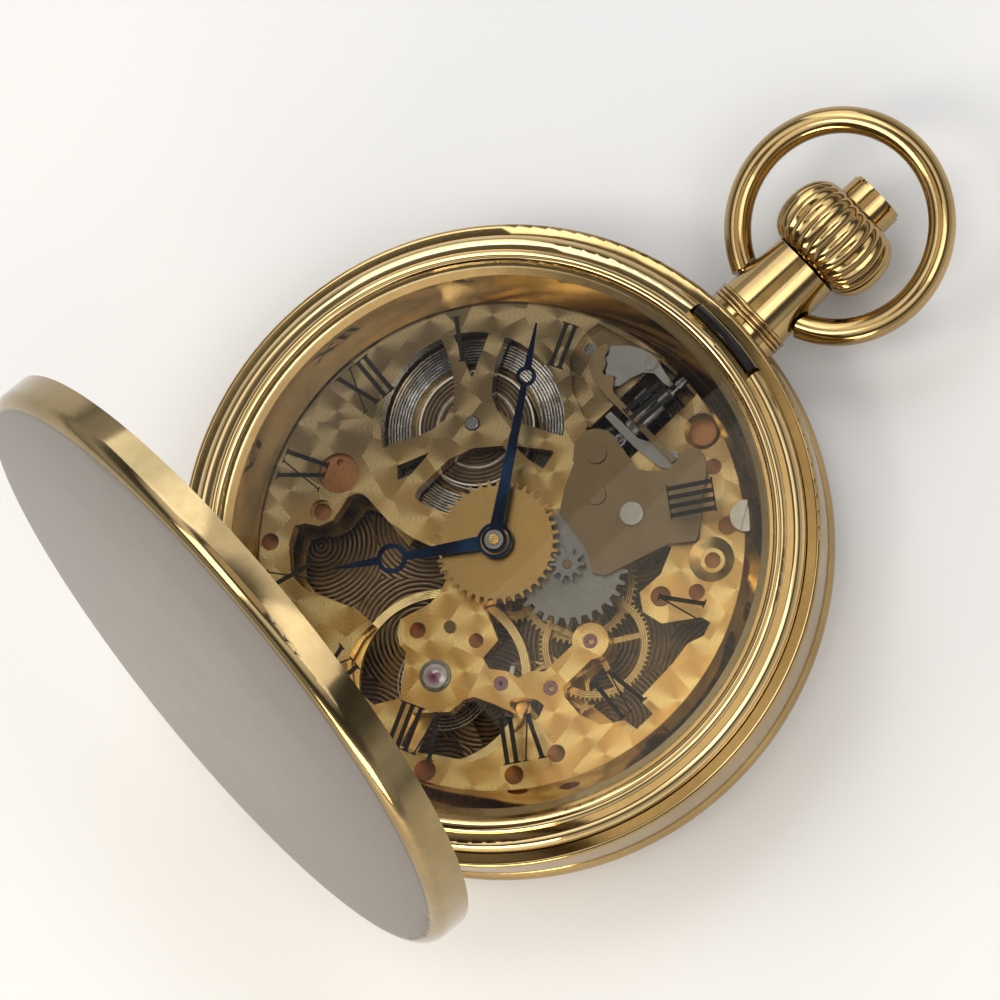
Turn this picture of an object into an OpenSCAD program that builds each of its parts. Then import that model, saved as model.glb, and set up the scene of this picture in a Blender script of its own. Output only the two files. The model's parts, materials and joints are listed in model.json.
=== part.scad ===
// Hunter-case pocket watch with a skeletonised hand-wound movement.
// Millimetres. The watch lies on its back: origin at the middle of the flat
// back, +X toward the crown (III), +Y toward XII, +Z up out of the dial.

/* [Case] */
// widest radius of the case band
case_r = 24; // [23.5:0.1:25]
// height of the main plate's top above the flat of the back
plate_h = 7.9; // [7.9:0.1:8.6]
// angle the front lid stands open from closed, degrees
lid_open = 74; // [40:1:88]
// angle the bow is raised from the plane of the case, degrees
bow_lift = 12; // [-10:1:40]

/* [Pendant] */
// outside radius of the crown
crown_r = 4.45; // [4.1:0.05:4.6]
// number of rounded ribs round the crown
crown_ribs = 26; // [20:1:32]
// radius of the bow's centre line
bow_r = 7.75; // [7.4:0.05:8.2]
// radius of the bow's wire
bow_wire = 1.0; // [0.8:0.05:1.1]

/* [Dial and hands] */
// inner radius of the numerals
num_in = 13.25; // [13:0.05:13.6]
// outer radius of the numerals
num_out = 16.65; // [16.4:0.05:16.9]
// angle the crystal with its numerals is turned clockwise, degrees
crystal_turn = 3.6; // [0:0.2:6]
// minute-hand angle clockwise from XII, degrees
minute_angle = 53.5; // [0:0.5:359]
// hour-hand angle clockwise from XII, degrees
hour_angle = 304.5; // [0:0.5:359]

/* [Movement] */
// thickness of the main plate
plate_t = 1.4; // [1.2:0.1:1.4]
// number of mainspring coils
spring_coils = 8; // [6:1:9]

/* [Hidden] */
$fn = 64;

zp = plate_h;
gold = [0.86, 0.68, 0.36];
brass = [0.80, 0.62, 0.30];
steel = [0.62, 0.63, 0.65];
blue = [0.10, 0.17, 0.36];
ruby = [0.55, 0.05, 0.18];

// wheel centres
bar = [4.6, 8.1];
inter = [7.56, -2.47];
third = [2.1, -5.5];
fourth = [0, -9.9];
esc = [-4.4, -10.4];
pal = [-6.8, -7.6];
bal = [-9.9, -3.8];
minw = [2.6, -4.85];
crw = [11.8, 2.3];
stem_z = -2.3;
pivot_x = 26.8;
crown_x = 33;
hinge = [-24.75, 1.75];
seat_z = 1.2;
// flat underside of the crystal
glass_z = 2.28;
// the catch and its slot sit a little to the VI side of the pendant
catch_y = -1.1;
catch_half = 8;

function dist(a, b) = norm(b - a);
function dir(a, b) = atan2(b[1] - a[1], b[0] - a[0]);
// angle of a tooth on gear B that meshes with gear A (tooth at th, line of centres at d)
function mate(th, d, na, nb) = d + 180 + (d - th) * na / nb + 180 / nb;

// teeth and modules of the trains
nb = 78;
ncp = 12;
mb = 2 * dist(bar, [0, 0]) / (nb + ncp);
nc = 70;
n3p = 10;
mc = 2 * dist([0, 0], third) / (nc + n3p);
n3 = 60;
n4p = 7;
m3 = 2 * dist(third, fourth) / (n3 + n4p);
n4 = 70;
nep = 7;
m4 = 2 * dist(fourth, esc) / (n4 + nep);
ncan = 10;
nmw = 30;
mm_ = 2 * norm(minw) / (ncan + nmw);
nmp = 10;
nh = 40;
mh = 2 * norm(minw) / (nmp + nh);
ni = 10;
ns = 12;
inter_a = dir(minw, inter);
setw = inter + [cos(46.5), sin(46.5)] * mm_ * (ni + ns) / 2;
nr = 46;
ncr = 28;
mr = 2 * dist(bar, crw) / (nr + ncr);

// ---------- shared shapes ----------
// flat gear outline; a tooth (or a gap when gap = 1) points along angle a
module gear2d(n, m, a = 0, gap = 0) {
  r = n * m / 2;
  ro = r + 0.85 * m;
  ri = r - 1.15 * m;
  p = 360 / n;
  rotate(a + gap * p / 2)
    polygon([for (i = [0 : n - 1]) for (k = [0 : 3])
      let (t = i * p + [-0.26, -0.1, 0.1, 0.26][k] * p, q = [ri, ro, ro, ri][k])
      [q * cos(t), q * sin(t)]]);
}

// ring, hub and straight spokes inside a wheel's teeth
module crossing(r_rim, rim_w, r_hub, n, w, a = 0) {
  difference() {
    circle(r_rim);
    circle(r_rim - rim_w);
  }
  circle(r_hub);
  for (i = [0 : n - 1])
    rotate(a + i * 360 / n)
      translate([0, -w / 2])
        square([r_rim - rim_w / 2, w]);
}

// toothed wheel with crossings, bottom at z, thickness t
module wheel(n, m, z, t, spokes, a, rim = 0.55, hub = 1.0, w = 0.45, sa = 0) {
  rr = n * m / 2 - 1.05 * m;
  translate([0, 0, z])
    linear_extrude(t) {
      difference() {
        gear2d(n, m, a);
        circle(rr - rim);
      }
      crossing(rr, rim, hub, spokes, w, sa);
    }
}

module cyl(x, y, z0, z1, r) {
  translate([x, y, z0])
    cylinder(h = z1 - z0, r = r);
}

// slotted screw head, top at z
module screw(x, y, z, r, h, a = 45, shank = 1.2, up = 1) {
  translate([x, y, z])
    difference() {
      union() {
        translate([0, 0, up > 0 ? -h : 0])
          cylinder(h = h, r = r);
        translate([0, 0, up > 0 ? -h - shank : h])
          cylinder(h = shank, r = r * 0.5);
      }
      rotate(a)
        translate([-r * 1.1, -r * 0.1, up > 0 ? -h * 0.5 : -0.01])
          cube([r * 2.2, r * 0.2, h * 0.5 + 0.01]);
    }
}

module up() {
  translate([0, 0, zp])
    children();
}

// ---------- case ----------
module back_cover() {
  color(gold) up() rotate_extrude($fn = 96)
    polygon([[0, -7.9], [13, -7.9], [15.5, -7.8], [18, -7.56], [20.3, -7.15], [22, -6.6],
        [23.1, -5.95], [23.55, -5.25], [22.7, -5.25], [22.5, -5.75], [21.6, -6.25], [20.1, -6.7],
        [17.9, -7.08], [15.4, -7.3], [13, -7.4], [0, -7.4]]);
}

module inner_back() {
  color([0.45, 0.30, 0.16]) up() cyl(0, 0, -5.6, -5.25, 22.3);
}

module band_profile() {
  difference() {
    union() {
      translate([17.8, -5.2])
        square([4.9, 2.6]);
      translate([case_r - 1.3, -3.9])
        circle(1.3);
      translate([17.8, -2.7])
        square([case_r - 0.55 - 17.8, 0.5]);
      translate([17.8, -2.4])
        square([case_r - 0.3 - 17.8, 3.25]);
      translate([17.8, 0])
        square([case_r - 0.65 - 17.8, seat_z]);
      translate([case_r - 0.65, 0.85])
        circle(0.35);
    }
    translate([17, -1.45])
      square([1.35, 4]);
    translate([17, 0.2])
      square([5.75, 2]);
  }
}

module catch_slot(r0, r1, w, z0, z1) {
  translate([0, 0, z0])
    linear_extrude(z1 - z0)
      intersection() {
        difference() {
          circle(r1);
          circle(r0);
        }
        translate([10, catch_y - w])
          square([16, 2 * w]);
      }
}

module case_middle() {
  color(gold) up() difference() {
    union() {
      rotate_extrude($fn = 96)
        band_profile();
      for (y = [-4.4, 2.4])
        translate([hinge[0], y, hinge[1]])
          rotate([-90, 0, 0])
            cylinder(h = 2, r = 0.62);
      for (y = [-4.4, 2.4]) {
        translate([hinge[0] - 0.3, y, -0.4])
          cube([1.3, 2, 1.8]);
        translate([hinge[0] + 0.9, y, -0.4])
          cube([1.2, 2, 1.5]);
      }
    }
    translate([hinge[0], -6, hinge[1]])
      rotate([-90, 0, 0])
        cylinder(h = 12, r = 0.3);
    translate([16, 0, stem_z])
      rotate([0, 90, 0])
        cylinder(h = 10, r = 1.0);
    translate([22.95, 0, stem_z])
      rotate([0, 90, 0])
        cylinder(h = 3, r = 3.15);
    catch_slot(21.38, 22.82, 3.35, -0.4, 3);
    translate([21.85, -1.2, -1.4])
      cube([1.15, 2.4, 2]);
    translate([hinge[0] - 1, -2.35, 0.75])
      cube([1.9, 4.7, 3]);
    for (a = [150, -38])
      rotate(a)
        translate([18.2, 0, -2.6])
          cylinder(h = 3, r = 1.25);
  }
}

module bezel() {
  color(gold) up() difference() {
    rotate_extrude($fn = 96)
      difference() {
        union() {
          translate([18.05, 0.25])
            square([4.65, 1.25]);
          translate([21.8, 1.5])
            circle(0.9);
          translate([18.05, 1])
            square([3.75, 1.4]);
          translate([20.95, 2.2])
            circle(0.55);
        }
        polygon([[17, -0.2], [18.05, 0.3], [19.6, 2.2], [20.2, 2.25], [20.2, 3.5], [17, 3.5]]);
      }
    catch_slot(21.38, 22.82, 3.35, -1, 4);
    for (a = [150, -38])
      rotate(a)
        translate([18.2, 0, -0.5])
          cylinder(h = 1.35, r = 1.25);
  }
}

module crystal() {
  color([0.9, 0.95, 1, 0.25]) up() rotate_extrude($fn = 96)
    polygon(concat(
      [for (i = [0 : 10]) [2 * i + (i == 10 ? 0.15 : 0), 2.72 + 0.55 * (1 - i * i / 100)]],
      [[20.15, glass_z], [0, glass_z]]));
}

// closed lid, relative to the hinge axis
module lid_closed() {
  difference() {
    union() {
      translate([-hinge[0], 0, seat_z + 0.05 - hinge[1]])
        rotate_extrude($fn = 96)
          difference() {
            union() {
              polygon([[0, 0], [23.75, 0], [23.75, 1.6], [22.6, 2.75], [20.6, 2.85], [14, 3.1],
                  [7, 3.25], [0, 3.3]]);
              translate([22.6, 1.6])
                circle(1.15);
            }
            polygon([[-1, -1], [22.85, -1], [22.85, 1.5], [22.3, 1.95], [20.3, 2.25], [14, 2.5],
                [7, 2.65], [-1, 2.7]]);
          }
      translate([0, -2.25, 0])
        rotate([-90, 0, 0])
          cylinder(h = 4.5, r = 0.62);
      translate([0, -2.25, 0])
        cube([1.5, 4.5, 0.55]);
    }
    translate([0, -6, 0])
      rotate([-90, 0, 0])
        cylinder(h = 12, r = 0.3);
    for (y = [-4.6, 2.3])
      translate([-1, y, -1])
        cube([2.1, 2.3, 2.2]);
  }
}

module lid() {
  color(gold) up() translate([hinge[0], 0, hinge[1]]) rotate([0, -lid_open, 0]) lid_closed();
}

module hinge_pin() {
  color(gold) up() translate([hinge[0],
      -4.4, hinge[1]]) rotate([-90, 0, 0]) cylinder(h = 8.8, r = 0.26);
}

module catch() {
  color([0.12, 0.12, 0.14]) up() {
    difference() {
      rotate(asin(catch_y / 22.4) - catch_half)
        rotate_extrude(angle = 2 * catch_half)
          polygon([[21.72, -0.3], [22.7, -0.3], [22.7, 1.9], [22.6, 2.3], [22.35, 2.55], [22, 2.5],
              [21.72, 2.25]]);
      translate([22.5, -5, 0.95])
        cube([2, 8, 0.3]);
    }
    translate([22.3, -0.9, -1.3])
      cube([0.4, 1.8, 1.2]);
  }
}

module pendant() {
  color(gold) up() translate([0, 0, stem_z]) rotate([0, 90, 0]) difference() {
    union() {
      translate([0, 0, 23])
        cylinder(h = 1.0, r = 3.1);
      for (k = [0 : 2])
        translate([0, 0, 24.1 + 0.35 * k])
          rotate_extrude($fn = 64)
            union() {
              square([3.0, 0.2]);
              translate([3.0, 0.1])
                circle(0.17);
            }
      translate([0, 0, 24])
        cylinder(h = 1.0, r = 2.85);
      translate([0, 0, 24.5])
        cylinder(h = 5.6, r1 = 3, r2 = 2.72);
    }
    translate([0, 0, 20])
      cylinder(h = 10, r = 0.85);
    translate([0, 0, 25.4])
      cylinder(h = 6, r = 1.75);
    translate([0, 0, pivot_x])
      rotate([90, 0, 0])
        translate([0, 0, -5])
          cylinder(h = 10, r = 0.62);
  }
}

bow_end = 2.95;
bow_gap = 3.03;
bow_c = sqrt(bow_r * bow_r - bow_end * bow_end);
bow_a = asin(bow_end / bow_r);

module bow() {
  color(gold) up() translate([pivot_x, 0, stem_z]) rotate([0, -bow_lift, 0]) {
    difference() {
      translate([bow_c, 0, 0])
        rotate(180 + bow_a)
          rotate_extrude(angle = 360 - 2 * bow_a, $fn = 96)
            translate([bow_r, 0])
              circle(bow_wire, $fn = 40);
      rotate([0, 90, 0])
        translate([0, 0, -3])
          cylinder(h = 6, r = bow_gap);
    }
    for (s = [-1, 1])
      rotate([-90 * s, 0, 0])
        translate([0, 0, 2])
          cylinder(h = 1.4, r = 0.56);
  }
}

// onion crown: meridional ribs on a flattened ball, axis along +Z,
// with a stepped hole for stem and button
cr_n = 6;
cr_rings = 15;
cr_t0 = 8;
cr_t1 = 172;
function cr_rib(a) = 1 - 0.06 * (1 - abs(sin(a * crown_ribs / 2)));
function cr_rad(t, a) = (1.9 + (crown_r - 1.9) * pow(sin(t), 0.7)) * cr_rib(a);
function cr_z(t) = -2.85 * cos(t);
cr_hole = [[2.26, cr_z(cr_t1)], [2.26, -0.4], [0.75, -0.4], [0.75, cr_z(cr_t0)]];

module crown_body() {
  seg = crown_ribs * cr_n;
  rings = cr_rings + len(cr_hole);
  skin = [for (j = [0 : cr_rings - 1]) for (i = [0 : seg - 1])
    let (t = cr_t0 + (cr_t1 - cr_t0) * j / (cr_rings - 1), a = i * 360 / seg, r = cr_rad(t, a))
    [r * cos(a), r * sin(a), cr_z(t)]];
  hole = [for (p = cr_hole) for (i = [0 : seg - 1])
    [p[0] * cos(i * 360 / seg), p[0] * sin(i * 360 / seg), p[1]]];
  faces = [for (j = [0 : rings - 1]) for (i = [0 : seg - 1])
    let (k = (j + 1) % rings, n = (i + 1)
        % seg, p = j * seg + i, q = k * seg + i, r = k * seg + n, s = j * seg + n)
    each [[p, q, r], [p, r, s]]];
  polyhedron(points = concat(skin, hole), faces = faces, convexity = 4);
}

module crown() {
  color(gold) up() translate([crown_x, 0, stem_z]) rotate([0, 90, 0]) crown_body();
}

module button() {
  color(gold) up() translate([crown_x + 0.5, 0, stem_z]) rotate([0, 90, 0]) {
    cylinder(h = 3.75, r = 2.2);
    translate([0, 0, 3.7])
      cylinder(h = 0.3, r = 2.05);
  }
}

module stem() {
  color(steel) up() translate([0, 0, stem_z]) rotate([0, 90, 0]) difference() {
    union() {
      translate([0, 0, 9.9])
        cylinder(h = 1.0, r = 0.4);
      translate([0, 0, 10.9])
        cylinder(h = 20.9, r = 0.65);
      translate([0, 0, 26])
        cylinder(h = 5.8, r = 0.75);
    }
    translate([0, 0, 16.75])
      difference() {
        cylinder(h = 0.5, r = 1.2);
        translate([0, 0, -0.1])
          cylinder(h = 0.7, r = 0.4);
      }
  }
}

module sleeve(x0, l, r, n) {
  translate([x0, 0, stem_z])
    rotate([0, 90, 0])
      difference() {
        linear_extrude(l)
          gear2d(n, 2 * r / (n + 1.7));
        translate([0, 0, -1])
          cylinder(h = l + 2, r = 0.7);
      }
}

module winding_pinion() {
  color([0.18, 0.18, 0.2]) up() {
    sleeve(14.4, 1.1, 1.62, 16);
    translate([13.35, 0, stem_z])
      rotate([0, 90, 0])
        difference() {
          cylinder(h = 1.3, r = 1.35);
          translate([0, 0, -1])
            cylinder(h = 4, r = 0.7);
        }
  }
}

module clutch() {
  color([0.18, 0.18, 0.2]) up() {
    sleeve(11.2, 0.5, 1.35, 14);
    translate([11.5, 0, stem_z])
      rotate([0, 90, 0])
        difference() {
          union() {
            cylinder(h = 1.75, r = 0.95);
            translate([0, 0, 1.15])
              cylinder(h = 0.6, r = 1.35);
          }
          translate([0, 0, -1])
            cylinder(h = 4, r = 0.7);
        }
  }
}

module case_screws() {
  color(steel) up() for (a = [150, -38]) rotate(a) screw(18.2, 0, 0.45, 1.15, 0.4, 70, 1.6);
}

// ---------- main plate ----------
module window_openings() {
  intersection() {
    translate(bar)
      circle(6.85);
    union() {
      polygon([[-0.6, 11.2], [1, 10.3], [2.2, 9.85], [3.3, 9.75], [4.5, 10.1], [5.6, 11.2],
          [6.5, 12.6], [7.2, 14.3], [6, 17], [0, 17], [-4, 12]]);
      polygon([[6.85, 10.6], [8.2, 11.3], [11.6, 13], [8.6, 15.5], [7.45, 12.3]]);
      polygon([[9, 10.3], [10.6, 11.1], [13, 10], [13, 4], [9.5, 1.5], [8.5, 3.1], [6.8, 6.4],
          [6.6, 7.6], [7, 8.6], [7.9, 9.5]]);
      polygon([[-2.2, 8.9], [-1.5, 9.7], [0.9, 8.75], [-1.2, 8.5]]);
      polygon([[-2.2, 6.4], [-2.1, 7.1], [-1.6, 7.35], [1.6, 7.35], [3.4, 6.7], [5.2, 5.2],
          [4.4, 3.6], [2.9, 3], [0.4, 3.3], [-1.2, 3.9]]);
    }
  }
  polygon([[5.7, 4.7], [7.5, 2.4], [7.4, 2.2], [6.1, 1.9], [5.8, 3]]);
}

module left_openings() {
  polygon([[-12.6, 9.3], [-11.2, 11.1], [-10, 11.8], [-9.3, 11.4], [-8.7, 10.5], [-7.7, 10.1],
      [-6.7, 10.3], [-5.7, 10.6], [-5, 10.3], [-4.7, 9.8], [-4.75, 7], [-4.3, 5], [-3.6, 3.2],
      [-4.2, 1], [-5.6, 0.5], [-6.6, 0.4], [-8.3, 0.9], [-9, 1.1], [-9.8, 0.5], [-10.3, -0.3],
      [-10.3, -1], [-11, -1.6], [-12.2, -2.6], [-12.9, -3.2], [-14.6, -2.2], [-14.9, 0.2],
      [-13.8, 1.7], [-12, 2.3], [-10.7, 2.3], [-10.8, 3.9], [-12.6, 7.8]]);
  polygon([[-11.8, -5.7], [-10.9, -6.5], [-9.6, -6.6], [-8.9, -6.9], [-8.2, -8.3], [-7.6, -9.8],
      [-7.3, -8.9], [-6.6, -9.2], [-5.7, -10.3], [-5.6, -11], [-6.5, -11.4], [-7.5, -11.1],
      [-9, -10.9], [-11.2, -10.8], [-12.3, -10.2], [-13.6, -8.3], [-14.5, -7.2], [-15.3, -5.5],
      [-13, -4.6]]);
}

module train_opening() {
  difference() {
    polygon([[-3.9, -2.2], [-4.3, -3.8], [-4.8, -5.1], [-6.5, -5.3], [-6.7, -6.2], [-5.9, -7.2],
        [-5.6, -8.2], [-4.7, -8.4], [-3.9, -9.2], [-3.6, -10.9], [-4.1, -11.5], [-4.2, -13.2],
        [-3.6, -14.9], [-2.1, -15.9], [-1.9, -17], [-0.3, -17], [-0.3, -15.5], [3.2, -15.3],
        [5, -15], [6.2, -15.4], [7.2, -15], [7, -14.3], [5.6, -13.3], [4.6, -12.6], [4.2, -11],
        [5, -9.8], [7, -9.9], [8.9, -9], [8.6, -7.9], [6, -7.2], [4.2, -6.6], [2.6, -6.6],
        [1.2, -6.3], [0.2, -4.6], [-1.6, -3.6], [-3.2, -2.6]]);
    translate(fourth)
      circle(1.35);
    translate([-4.4, -10.95])
      square([4.6, 1.75]);
    translate(minw)
      circle(1.5);
  }
}

holes = [[-8.6, -0.4, 0.6], [-6, -4, 0.55], [-12.1, 12.2, 0.65], [-7.8, 11.2, 0.65], [16.3, -4.3, 1],
    [15.1, -6.8, 0.6], [12.9, -10.7, 0.7], [10.4, -11.7, 0.6], [5.9, -11.1, 0.75], [8, -12.7, 0.6],
    [-10.6, -13.2, 0.7], [-7.3, -14.2, 0.65], [-15.1, -8.4, 0.8]];

module main_plate() {
  color(gold) up() difference() {
    translate([0, 0, -plate_t])
      linear_extrude(plate_t)
        difference() {
          circle(18.3, $fn = 96);
          window_openings();
          left_openings();
          train_opening();
          for (h = holes)
            translate([h[0], h[1]])
              circle(h[2]);
          circle(1.05);
          translate([10.3, -1.9])
            square([8, 3.8]);
          for (p = [fourth, esc, pal])
            translate(p)
              circle(0.55);
          translate(bal)
            circle(1.2);
          translate(bar)
            circle(0.56);
          translate([17, 2.1])
            circle(0.26);
        }
    translate([0, 0, -0.6])
      linear_extrude(1)
        polygon([[10.6, 2], [11.5, 4.6], [13, 6.6], [15, 7.2], [16.3, 7], [17.2, 4], [17.9, 1.9],
            [17.9, -2], [15.4, -2.4], [14.7, -4.9], [12, -5.1], [10.6, -2]]);
    translate([-5, 12.4, -0.8])
      cylinder(h = 1, r = 1.5);
    translate([10.4, -11.7, -0.45])
      cylinder(h = 1, r1 = 0.9, r2 = 2.6);
    translate([16.3, -4.3, -0.35])
      cylinder(h = 0.4, r1 = 1, r2 = 1.4);
    translate([-7.8, 11.2, -0.4])
      cylinder(h = 0.5, r = 0.85);
    for (a = [150, -38])
      rotate(a)
        translate([18.2, 0, -1])
          cylinder(h = 1.1, r = 1.25);
    for (a = [150, -38])
      rotate(a)
        translate([18.2, 0, -3])
          cylinder(h = 4, r = 0.62);
  }
}

module plate_plugs() {
  color([0.55, 0.34, 0.18]) up() for (h = holes)
    cyl(h[0], h[1], -1.4, -0.95, h[2]);
  color([0.55, 0.34, 0.18]) up() difference() {
    cyl(-5, 12.4, -0.8, -0.35, 1.49);
    cyl(-4.4, 13, -0.7, 0, 0.28);
  }
}

// ---------- barrel ----------
module barrel() {
  color(brass) up() translate(bar) difference() {
    union() {
      cyl(0, 0, -3, -1.75, 7.15);
      translate([0, 0, -3])
        linear_extrude(0.5)
          gear2d(nb, mb, dir(bar, [0, 0]));
    }
    cyl(0, 0, -2.75, -1, 6.9);
    cyl(0, 0, -4, 0, 0.78);
  }
}

module barrel_cover() {
  color([0.5, 0.36, 0.2]) up() translate([bar[0], bar[1], -1.85]) difference() {
    union() {
      cylinder(h = 0.2, r = 4.35);
      difference() {
        cylinder(h = 0.28, r = 4.35);
        cyl(0, 0, -1, 1, 4.2);
      }
      difference() {
        cylinder(h = 0.26, r = 3.0);
        cyl(0, 0, -1, 1, 2.88);
      }
    }
    cyl(0, 0, -1, 1, 1.17);
  }
}

// flat spiral band, r0 to r1 over n turns
module spiral(r0, r1, n, t, h, seg = 40) {
  k = n * seg;
  linear_extrude(h)
    polygon(concat(
      [for (i = [0 : k]) let (r = r0 + (r1 - r0) * i / k, a = i * 360 / seg) [(r + t / 2)
          * cos(a), (r + t / 2) * sin(a)]],
      [for (i = [k : -1 : 0]) let (r = r0 + (r1 - r0) * i / k, a = i * 360 / seg) [(r - t / 2)
          * cos(a), (r - t / 2) * sin(a)]]));
}

module mainspring() {
  color([0.5, 0.5, 0.52]) up() translate([bar[0], bar[1], -2.7]) {
    spiral(5.0, 6.77, spring_coils, 0.11, 0.85, 48);
    spiral(1.25, 5.0, 3, 0.1, 0.85);
  }
}

module barrel_arbor() {
  color(steel) up() translate(bar) {
    cyl(0, 0, -4.4, 0.12, 0.48);
    cyl(0, 0, -2.72, -1.8, 1.15);
    cyl(0, 0, 0.1, 0.2, 0.44);
  }
}

module ratchet_wheel() {
  color(steel) up() translate([bar[0], bar[1], -4.35]) linear_extrude(0.35) difference() {
    gear2d(nr, mr, dir(bar, crw));
    circle(0.55);
  }
}

module crown_wheel() {
  color(steel) up() translate([crw[0], crw[1], -4.35]) linear_extrude(0.35) difference() {
    gear2d(ncr, mr, dir(crw, bar), 1);
    circle(0.65);
  }
}

module crown_wheel_screw() {
  color(steel) up() {
    cyl(crw[0], crw[1], -4.4, -3.8, 0.6);
    translate([crw[0], crw[1], 0])
      screw(0, 0, -4.75, 1.3, 0.33, 20, 0.1, -1);
  }
}

click_p = [-2.2, 12.4];

module click() {
  color(steel) up() translate([0, 0, -4.3]) linear_extrude(0.3) difference() {
    union() {
      translate(click_p)
        circle(0.8);
      polygon([[-1.8, 12.9], [-1.5, 12.9], [0.1, 12.1], [-0.2, 11.62], [-1.7, 11.9]]);
    }
    translate(click_p)
      circle(0.35);
  }
}

module barrel_bridge() {
  color(gold) up() translate([0, 0, -3.9]) linear_extrude(0.45) difference() {
    intersection() {
      circle(17.7, $fn = 96);
      polygon([[-18, 3], [-6.5, 3.5], [-6, 5.6], [0, 6.2], [6, 2.2], [8, -2.6], [18, -3.2], [18, 18],
          [-18, 18]]);
    }
    translate(bar)
      difference() {
        circle(6.2);
        circle(1.6);
        for (a = [20, 110, 200, 290])
          rotate(a)
            translate([0, -0.9])
              square([8, 1.8]);
      }
    polygon([[-12.3, 9.2], [-11, 10.7], [-10, 11.3], [-9.1, 10.8], [-8.4, 10.1], [-7.4, 9.8],
        [-5.4, 10], [-4.8, 9], [-5, 5.7], [-5, 2], [-12.6, 2]]);
    translate([13.4, -1.95])
      square([3.4, 3.9]);
    translate([10.1, -0.85])
      square([3.5, 1.7]);
    translate(bar)
      circle(0.53);
    translate(crw)
      circle(0.66);
    translate(click_p)
      circle(0.25);
  }
}

module train_bridge() {
  color(gold) up() {
    translate([0, 0, -4.05])
      linear_extrude(0.5)
        difference() {
          union() {
            translate(third)
              circle(1.3);
            translate(fourth)
              circle(1.3);
            translate(esc)
              circle(1.15);
            circle(1.6);
            polygon([[-1.1, -0.4], [1.1, 0.4], [3.1, -5], [0.9, -6.2]]);
            polygon([[0.9, -5.4], [3.3, -5.6], [1.2, -10.3], [-1.2, -9.6]]);
            polygon([[0, -10.9], [0.2, -8.9], [-4.4, -9.5], [-4.5, -11.3]]);
            polygon([[1.2, -4.6], [1.8, -6.4], [13.6, -8.6], [12.4, -12.4], [14.6, -10],
                [15.6, -6.6], [12, -5]]);
            polygon([[-5.2, -11], [-3.4, -11.2], [-2.6, -16.6], [-6, -15.6]]);
          }
          for (p = [[0, 0], third, fourth, esc])
            translate(p)
              circle(0.5);
        }
    cyl(13.9, -8.6, -4.05, -1.4, 1.1);
    cyl(-4.1, -15.6, -4.05, -1.4, 0.85);
  }
}

module bridge_screws() {
  color(steel) up() {
    screw(-13.5, 9.9, -4.25, 0.85, 0.33, 15, 0.02, -1);
    screw(13.6, 8.6, -4.25, 0.85, 0.33, 60, 0.02, -1);
    screw(13.9, -8.6, -4.4, 0.85, 0.33, 100, 0.02, -1);
    screw(-4.1, -15.6, -4.4, 0.7, 0.33, 40, 0.02, -1);
    screw(click_p[0], click_p[1], -4.65, 0.7, 0.33, 40, 0.35, -1);
  }
}

// ---------- going train ----------
module centre_wheel() {
  color(brass) up() {
    wheel(nc, mc, -3.35, 0.25, 5, dir([0, 0], third), 0.6, 1.5, 0.5, 12);
    translate([0, 0, -3.0])
      linear_extrude(0.6)
        gear2d(ncp, mb, dir([0, 0], bar), 1);
    cyl(0, 0, -4.0, -3.05, 0.42);
    cyl(0, 0, -3.2, 0.1, 0.6);
    cyl(0, 0, 0, 2.2, 0.4);
  }
}

module third_wheel() {
  color(brass) up() translate(third) {
    wheel(n3, m3, -2.5, 0.22, 5, dir(third, fourth), 0.5, 0.9, 0.4);
    translate([0, 0, -3.4])
      linear_extrude(0.95)
        gear2d(n3p, mc, dir(third, [0, 0]), 1);
    cyl(0, 0, -4.0, -1.55, 0.28);
  }
}

module fourth_wheel() {
  color(brass) up() translate(fourth) {
    wheel(n4, m4, -1.95, 0.25, 5, dir(fourth, esc), 0.5, 0.95, 0.42, 40);
    translate([0, 0, -2.6])
      linear_extrude(0.7)
        gear2d(n4p, m3, dir(fourth, third), 1);
    cyl(0, 0, -4.0, -0.25, 0.22);
  }
}

module escape_wheel() {
  color(steel) up() translate(esc) {
    translate([0, 0, -2.6])
      linear_extrude(0.15) {
        for (i = [0 : 14])
          rotate(i * 24)
            polygon([[2.2, -0.12], [2.35, 0.2], [2.84, 0.58], [2.86, 0.44], [2.45, -0.12]]);
        crossing(2.4, 0.28, 0.6, 4, 0.28, 15);
      }
    translate([0, 0, -2.5])
      linear_extrude(0.85)
        gear2d(nep, m4, dir(esc, fourth), 1);
    cyl(0, 0, -4.0, -0.25, 0.2);
  }
}

pal_a = dir(pal, bal);
pal_e = dir(pal, esc);

module pallet_fork() {
  color(steel) up() translate(pal) {
    translate([0, 0, -2.62])
      linear_extrude(0.18) {
        circle(0.45);
        rotate(pal_a)
          translate([0, -0.14])
            square([3.1, 0.28]);
        rotate(pal_a)
          translate([3.0, -0.45])
            square([0.25, 0.9]);
        for (s = [-1, 1])
          rotate(pal_a)
            translate([3.1, s * 0.36 - 0.09])
              square([0.65, 0.18]);
        for (s = [-1, 1])
          rotate(pal_e + s * 84)
            translate([0, -0.16])
              square([1.7, 0.32]);
      }
    cyl(0, 0, -3.3, -2.4, 0.16);
  }
}

module pallet_stones() {
  color(ruby) up() translate(pal) translate([0, 0, -2.66]) linear_extrude(0.26) {
    for (s = [-1, 1])
      rotate(pal_e + s * 84)
        translate([1.85, 0])
          rotate(-s * 74)
            translate([-0.2, -0.12])
              square([1.28, 0.24]);
  }
}

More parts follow.
